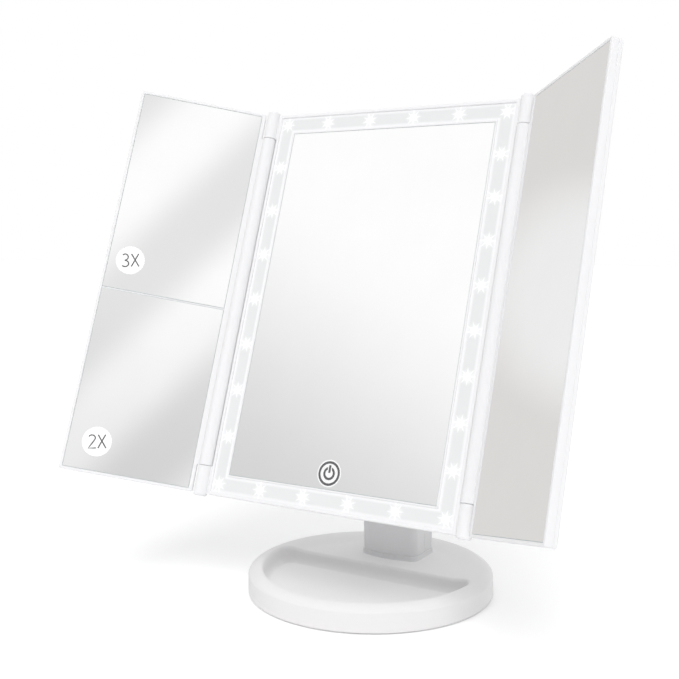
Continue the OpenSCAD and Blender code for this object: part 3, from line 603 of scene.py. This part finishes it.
def band_mesh():
    """The window as a grid with one cell for each light, so that each cell knows its own light."""
    mesh = bmesh.new()
    uv = mesh.loops.layers.uv.new("from_light")
    margin = mesh.verts.layers.float.new("off_middle")
    half_band = 5.05

    def side_lines(count):
        return [1 - (2 * i + 1) / (count - 1) for i in range(count - 1)]

    corners = [(1, 1), (-1, 1), (-1, -1), (1, -1)]
    counts = {(1, 1): row_lights, (-1, 1): left_lights, (-1, -1): row_lights, (1, -1): right_lights}
    lines = []
    for corner in corners:
        lines.append((corner[0] * light_x, corner[1] * light_z, corner))
        for s in side_lines(counts[corner]):
            if corner == (1, 1):
                lines.append((s * light_x, light_z, (0, 1)))
            elif corner == (-1, 1):
                lines.append((-light_x, s * light_z, (-1, 0)))
            elif corner == (-1, -1):
                lines.append((-s * light_x, -light_z, (0, -1)))
            else:
                lines.append((light_x, -s * light_z, (1, 0)))
    rings = [(half_band, window_back), (half_band, window_y), (0, window_y), (-half_band, window_y),
             (-half_band, window_back)]
    layers = []
    for off, y in rings:
        layer = []
        for x, z, out in lines:
            vert = mesh.verts.new((x + out[0] * off, y, z + out[1] * off))
            vert[margin] = abs(off)
            layer.append(vert)
        layers.append(layer)
    for low, high in zip(layers, layers[1:] + layers[:1]):
        for i in range(len(lines)):
            j = (i + 1) % len(lines)
            face = mesh.faces.new((low[i], low[j], high[j], high[i]))
            middle = face.calc_center_median()
            number, near = min(enumerate(light_places),
                               key=lambda p: (p[1][0] - middle.x) ** 2 + (p[1][1] - middle.z) ** 2)
            spin = Matrix.Rotation(math.radians(star_turn * number % star_share), 2)
            for loop in face.loops:
                loop[uv].uv = spin @ Vector((loop.vert.co.x - near[0], loop.vert.co.z - near[1]))
    return mesh


make_piece("frosted_window", band_mesh(), "head", [frosted_acrylic()], ["light_window"],
           head_place)

# ---- mirror glass ----
# Each mirror is 2 mm float glass, silvered on its back and cut with ground edges.
# The centre glass lies in a white tray whose thin lip shows all round it.


def silvered_glass():
    """Silvered float glass: a clear, faintly cool reflection with a trace of haze from wiping."""
    material, tree, shader = new_material("silvered_glass")
    place = add(tree, "ShaderNodeTexCoord").outputs["Object"]
    haze = add(tree, "ShaderNodeTexNoise", {"Vector": place, "Scale": 1 / (30 * MM), "Detail": 4.0})
    rough = add(tree, "ShaderNodeMapRange", {0: haze.outputs["Fac"], 1: 0.35, 2: 0.7, 3: 0.02, 4: 0.045})
    tree.links.new(rough.outputs[0], shader.inputs["Roughness"])
    tint = add(tree, "ShaderNodeMix", {0: haze.outputs["Fac"], 6: hex_colour("#ffffff"),
                                       7: hex_colour("#fbfbfb")}, data_type="RGBA")
    tree.links.new(tint.outputs[2], shader.inputs["Base Color"])
    shader.inputs["Metallic"].default_value = 1.0
    return material


def ground_edge():
    """The cut edge of float glass, ground matt, which is a pale grey green."""
    material, tree, shader = new_material("ground_glass_edge")
    place = add(tree, "ShaderNodeTexCoord").outputs["Object"]
    grit = add(tree, "ShaderNodeTexNoise", {"Vector": place, "Scale": 1 / (0.5 * MM), "Detail": 2.0})
    shade = add(tree, "ShaderNodeMix", {0: grit.outputs["Fac"], 6: hex_colour("#dfe4e3"),
                                        7: hex_colour("#d2d8d7")}, data_type="RGBA")
    tree.links.new(shade.outputs[2], shader.inputs["Base Color"])
    shader.inputs["Roughness"].default_value = 0.5
    return material


glass_finishes = [silvered_glass(), ground_edge()]
glass_t = 2.0
glass_bevel = 0.3
glass_corner = 0.5


def glass(name, node, body, place, w, h, y, x=0.0, z=0.0):
    """A pane with a small ground bevel round both faces."""
    mesh = bmesh.new()
    profile = [(glass_bevel, y), (0, y + glass_bevel), (0, y + glass_t - glass_bevel),
               (glass_bevel, y + glass_t)]
    framed(mesh, w, h, glass_corner, profile, x=x, z=z)
    for face in mesh.faces:
        face.normal_update()
        face.material_index = 0 if abs(face.normal.y) > 0.95 else 1
    make_piece(name, mesh, body, glass_finishes, [node], place, crease=20)


glass_y = 0.4
centre_w, centre_h = 133.8, 213.8
recess_w, recess_h = 136.0, 216.0
ledge = 8.0
recess_back = 3.8
recess_floor = 2.45
glass("centre_glass", "main_mirror", "head", head_place, centre_w, centre_h, glass_y)
mirror_tray = bmesh.new()
framed(mirror_tray, recess_w, recess_h, 0.8,
       [(ledge, recess_back), (0, recess_back), (0, 0.45)] + rounded_edge(0.25, 0.45, 0.25, 180, 270, 3)
       + rounded_edge(0.75, 0.45, 0.25, 270, 360, 3) + [(1.0, recess_floor), (ledge, recess_floor)])
make_piece("mirror_tray_skin", mirror_tray, "head", [white_abs], ["mirror_tray"], head_place)

# ---- doors ----
# Each door is a thin ABS frame with a flat back snapped on behind it, and a
# barrel along its inner side that turns on steel pins in the panel's knuckles.

door_in = bead_r + 0.8
door_out = hinge_x - 0.3
door_w = door_out - door_in
door_mid = (door_in + door_out) / 2
door_front = 0.4
door_parting = 4.4
door_back_y = 6.9
door_rim = 1.8
hinge_rim = 2.4
door_glass_y = 0.6
door_floor = 2.6
barrel_gap = 0.3
barrel_end = knuckle_z - barrel_gap
left_turn = math.radians(-joints["left_door_hinge"]["range_deg"][0])
right_turn = math.radians(-joints["right_door_hinge"]["range_deg"][0])
door_places = {
    -1: head_place @ Matrix.Translation((-hinge_x * MM, 0, 0)) @ Matrix.Rotation(left_turn, 4, "Z"),
    1: head_place @ Matrix.Translation((hinge_x * MM, 0, 0)) @ Matrix.Rotation(-right_turn, 4, "Z"),
}
pane_w = door_w - door_rim - hinge_rim
pane_x = (door_in + hinge_rim + door_out - door_rim) / 2
pane_h = panel_h - 2 * door_rim
divider_z = -8.5
divider_w = 0.8


def door(side, name, body, divided):
    """One door, frame and back, with x running outwards from the hinge on its side."""
    mesh = bmesh.new()
    shell = [(0.2, door_parting), (0, door_parting - 0.2)] + rounded_edge(0.6, 1.0, 0.6, 180, 270)
    outside = [(door_mid * side, door_w - 2 * i, panel_h - 2 * i, 1.2 - i, y) for i, y in shell]
    rebate = [(0.25, door_front), (0.07, door_front + 0.07), (0, door_front + 0.25), (0, door_floor)]
    recess = [(pane_x * side, pane_w + 2 * i, pane_h + 2 * i, 0.6, y) for i, y in rebate]
    rings = [plate_ring(w, h, r, y, x) for x, w, h, r, y in outside + recess]
    under = [plate_ring(door_w - 2 * door_rim, pane_h, 1, y, door_mid * side) for y in (3.8, door_parting)]
    loft(mesh, under + rings)
    barrel_face = bead_r - turned_edge
    barrel = [(turned_core, -barrel_end), (barrel_face, -barrel_end), (bead_r, turned_edge - barrel_end),
              (bead_r, barrel_end - turned_edge), (barrel_face, barrel_end), (turned_core, barrel_end)]
    turned(mesh, barrel)
    loft(mesh, [plate_ring(5.5, 2 * barrel_end, 0.2, y, 2.85 * side) for y in (door_front, bead_r)])
    if divided:
        loft(mesh, [plate_ring(pane_w, divider_w - 2 * i, 0.1, y, pane_x * side, divider_z)
                    for i, y in ((0.15, 0.9), (0, 1.05), (0, door_floor))])
    make_piece(name + "_frame", mesh, body, [white_abs], [body + "_frame"], door_places[side])
    rear = bmesh.new()
    back_front = door_parting + 0.02
    inside_back = [plate_ring(door_w - 2 * door_rim, pane_h, 1, y, door_mid * side)
                   for y in (5.5, back_front)]
    skin = [(0.2, back_front), (0, door_parting + 0.22)] + rounded_edge(0.9, door_back_y - 0.9, 0.9, 180, 90)
    loft(rear, inside_back + [plate_ring(door_w - 2 * i, panel_h - 2 * i, 1.2 - i * 0.8, y, door_mid * side)
                              for i, y in skin])
    make_piece(name + "_back", rear, body, [white_abs], [body + "_back"], door_places[side])


door(-1, "left_leaf", "left_door", True)
door(1, "right_leaf", "right_door", False)
gap = 0.1
upper_foot = divider_z + divider_w / 2 + gap
lower_top = divider_z - divider_w / 2 - gap
upper_h = panel_h / 2 - door_rim - gap - upper_foot
lower_h = lower_top + panel_h / 2 - door_rim - gap


def door_glass(name, node, side, h, z=0.0):
    """A pane in a door, with an even gap all round it."""
    body = "right_door" if side > 0 else "left_door"
    glass(name, node, body, door_places[side], pane_w - 2 * gap, h, door_glass_y, x=side * pane_x, z=z)


door_glass("right_glass", "right_mirror", 1, pane_h - 2 * gap)
door_glass("left_upper_glass", "left_upper_mirror", -1, upper_h, upper_foot + upper_h / 2)
door_glass("left_lower_glass", "left_lower_mirror", -1, lower_h, lower_top - lower_h / 2)

# ---- magnification labels ----
# A round white film sticker on each left glass gives its magnification.
# The figures are printed in thin dark grey.


def printed(name, colour, roughness):
    """Screen-printed ink or film: flat and slightly uneven in tone and gloss."""
    material, tree, shader = new_material(name)
    place = add(tree, "ShaderNodeTexCoord").outputs["Object"]
    mottle = add(tree, "ShaderNodeTexNoise", {"Vector": place, "Scale": 1 / (1.5 * MM), "Detail": 2.0})
    tone = add(tree, "ShaderNodeMix", {0: mottle.outputs["Fac"], 6: hex_colour(colour),
                                       7: [c * 0.93 for c in hex_colour(colour)[:3]] + [1]}, data_type="RGBA")
    tree.links.new(tone.outputs[2], shader.inputs["Base Color"])
    rough = add(tree, "ShaderNodeMapRange", {0: mottle.outputs["Fac"], 3: roughness - 0.05,
                                             4: roughness + 0.05})
    tree.links.new(rough.outputs[0], shader.inputs["Roughness"])
    return material


label_film = printed("label_film", "#ffffff", 0.4)
grey_ink = printed("dark_grey_ink", "#5c5c5e", 0.5)
label_t = 0.15
stroke = 0.38
figure_h = 8.6
figure_pitch = 0.68
figure_turn = math.radians(-11.5)
ink_flatness = 0.06
upper_label = (-69.2, 10.7)
lower_label = (-65.6, -100.9)


def arc(x, z, rx, rz, start, end, steps=14):
    angles = [math.radians(start + (end - start) * i / steps) for i in range(steps + 1)]
    return [(x + rx * math.cos(a), z + rz * math.sin(a)) for a in angles]


# Strokes on a grid one figure high, from the middle of each figure
figure_strokes = {
    "3": [arc(-0.02, 0.24, 0.22, 0.22, 140, -90) + arc(-0.02, -0.235, 0.25, 0.225, 90, -145)],
    "2": [arc(0.0, 0.25, 0.23, 0.21, 150, -25)
          + [(0.13, 0.05), (-0.04, -0.18), (-0.25, -0.44), (0.27, -0.44)]],
    "X": [[(-0.25, 0.46), (0.27, -0.46)], [(0.25, 0.46), (-0.27, -0.46)]],
}


def draw_figures(text, x, z):
    """Prints two figures side by side as flat strokes with round ends."""
    drawn = bpy.data.curves.new("figures_" + text, "CURVE")
    drawn.dimensions = "3D"
    drawn.bevel_depth = stroke * MM
    drawn.use_fill_caps = True
    for number, figure in enumerate(text):
        shift = (number - 0.5) * figure_pitch * figure_h
        for line in figure_strokes[figure]:
            path = drawn.splines.new("POLY")
            path.points.add(len(line) - 1)
            for point, (px, pz) in zip(path.points, line):
                point.co = (shift * MM + px * figure_h * MM, 0, pz * figure_h * MM, 1)
    drawn.materials.append(grey_ink)
    figures = bpy.data.objects.new("figures_" + text, drawn)
    bpy.context.scene.collection.objects.link(figures)
    flat = Matrix.Rotation(figure_turn, 4, "Y") @ Matrix.Diagonal((1, ink_flatness, 1, 1))
    spot = Matrix.Translation(Vector((x, door_glass_y - label_t, z)) * MM)
    figures.matrix_world = door_places[-1] @ spot @ flat
    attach(figures, "left_door")
    figures.visible_glossy = False


draw_figures("3X", *upper_label)
draw_figures("2X", *lower_label)

# ---- touch key ----
# The key is a printed ring and power sign on the glass, over a sensor pad.
# The silver is etched away behind it, which leaves a pale disc.

key_z = -98.0
clearing_r = 7.6
clearing_t = 0.03
clearing_core = 0.05
etched = printed("etched_clearing", "#f4f4f4", 0.3)
clearing = bmesh.new()
turned(clearing, [(clearing_core, -clearing_t), (clearing_r, -clearing_t), (clearing_r, 0.0),
                  (clearing_core, 0.0)], steps=64)
key_spot = Matrix.Translation(Vector((0, glass_y, key_z)) * MM)
disc_place = head_place @ key_spot @ Matrix.Rotation(-math.pi / 2, 4, "X")
make_piece("key_clearing", clearing, "head", [etched], (), disc_place)

# ---- CAD pieces that keep their shape ----
# The inner works, the screws and the back are the CAD nodes themselves,
# each with the finish of its own material.


def worked_metal(name, colour, roughness, grain_mm=0.6):
    """Plated or rolled steel: soft streaks in its shine, and its tone darker along the same streaks."""
    material, tree, shader = new_material(name)
    place = add(tree, "ShaderNodeTexCoord").outputs["Object"]
    stretch = add(tree, "ShaderNodeMapping", {"Vector": place, "Scale": (1.0, 1.0, 0.15)}).outputs[0]
    streak = add(tree, "ShaderNodeTexNoise", {"Vector": stretch, "Scale": 1 / (grain_mm * MM), "Detail": 4.0})
    tone = add(tree, "ShaderNodeMix", {0: streak.outputs["Fac"], 6: hex_colour(colour),
                                       7: [c * 0.8 for c in hex_colour(colour)[:3]] + [1]}, data_type="RGBA")
    tree.links.new(tone.outputs[2], shader.inputs["Base Color"])
    rough = add(tree, "ShaderNodeMapRange", {0: streak.outputs["Fac"], 3: roughness - 0.08,
                                             4: roughness + 0.1})
    tree.links.new(rough.outputs[0], shader.inputs["Roughness"])
    shader.inputs["Metallic"].default_value = 1.0
    return material


def moulded_rubber(name, colour):
    """Soft moulded rubber: matt, with a fine pebbled skin."""
    material, tree, shader = new_material(name)
    place = add(tree, "ShaderNodeTexCoord").outputs["Object"]
    pebble = add(tree, "ShaderNodeTexVoronoi", {"Vector": place, "Scale": 1 / (0.7 * MM)})
    bump = add(tree, "ShaderNodeBump", {"Height": pebble.outputs["Distance"], "Strength": 0.3,
                                        "Distance": 0.05 * MM})
    tree.links.new(bump.outputs[0], shader.inputs["Normal"])
    tone = add(tree, "ShaderNodeMix", {0: pebble.outputs["Distance"], 6: hex_colour(colour),
                                       7: [c * 0.8 for c in hex_colour(colour)[:3]] + [1]}, data_type="RGBA")
    tree.links.new(tone.outputs[2], shader.inputs["Base Color"])
    shader.inputs["Roughness"].default_value = 0.75
    return material


zinc_steel = worked_metal("zinc_plated_steel", "#b9bcc0", 0.32)
mill_steel = worked_metal("mill_finish_steel", "#85898e", 0.5, 1.5)
node_finish = {
    "base_bottom_cover": moulded_abs("bottom_cover_abs", "#dfdfe1", 0.45),
    "ballast_plate": mill_steel,
    "rubber_feet": moulded_rubber("foot_rubber", "#3a3a3c"),
    "light_trough": moulded_abs("trough_abs", "#f6f6f6", 0.36),
    "led_boards": printed("white_solder_mask", "#eceeec", 0.4),
    "led_chips": printed("lamp_phosphor", "#f6e7a8", 0.4),
    "touch_key_mark": grey_ink,
    "touch_electrode": worked_metal("copper_pad", "#c98a4b", 0.35),
    "control_board": printed("green_solder_mask", "#2f6b46", 0.35),
    "board_components": printed("chip_epoxy", "#2b2b2e", 0.5),
    "power_wires": printed("wire_jacket", "#a33a34", 0.45),
    "rear_housing": white_abs,
    "friction_washers": printed("washer_nylon", "#cfcfd0", 0.4),
    "lug_caps": white_abs,
    "battery_cells": printed("cell_jacket", "#3b6ea8", 0.25),
    "battery_cover": white_abs,
}
for node in ("base_screws", "neck_bracket", "bracket_screws", "usb_inlet", "housing_screws", "tilt_axle",
             "axle_nut", "battery_springs", "battery_plates", "left_hinge_pins", "right_hinge_pins"):
    node_finish[node] = zinc_steel
node_finish["left_labels"] = label_film
for node, finish in node_finish.items():
    shape = frame["nodes"][node]
    shape.data.materials.clear()
    shape.data.materials.append(finish)
    shape.visible_glossy = False

# The outer mouldings of the back have a small radius along their edges
for node, edge in (("rear_housing", 0.6), ("battery_cover", 0.3), ("lug_caps", 0.5)):
    shape = frame["nodes"][node]
    weld = shape.modifiers.new("weld", "WELD")
    weld.merge_threshold = 0.001 * MM
    bevel = shape.modifiers.new("mould_radius", "BEVEL")
    bevel.width = edge * MM
    bevel.segments = 3
    bevel.limit_method = "ANGLE"
    bevel.angle_limit = math.radians(40)
    bevel.harden_normals = True
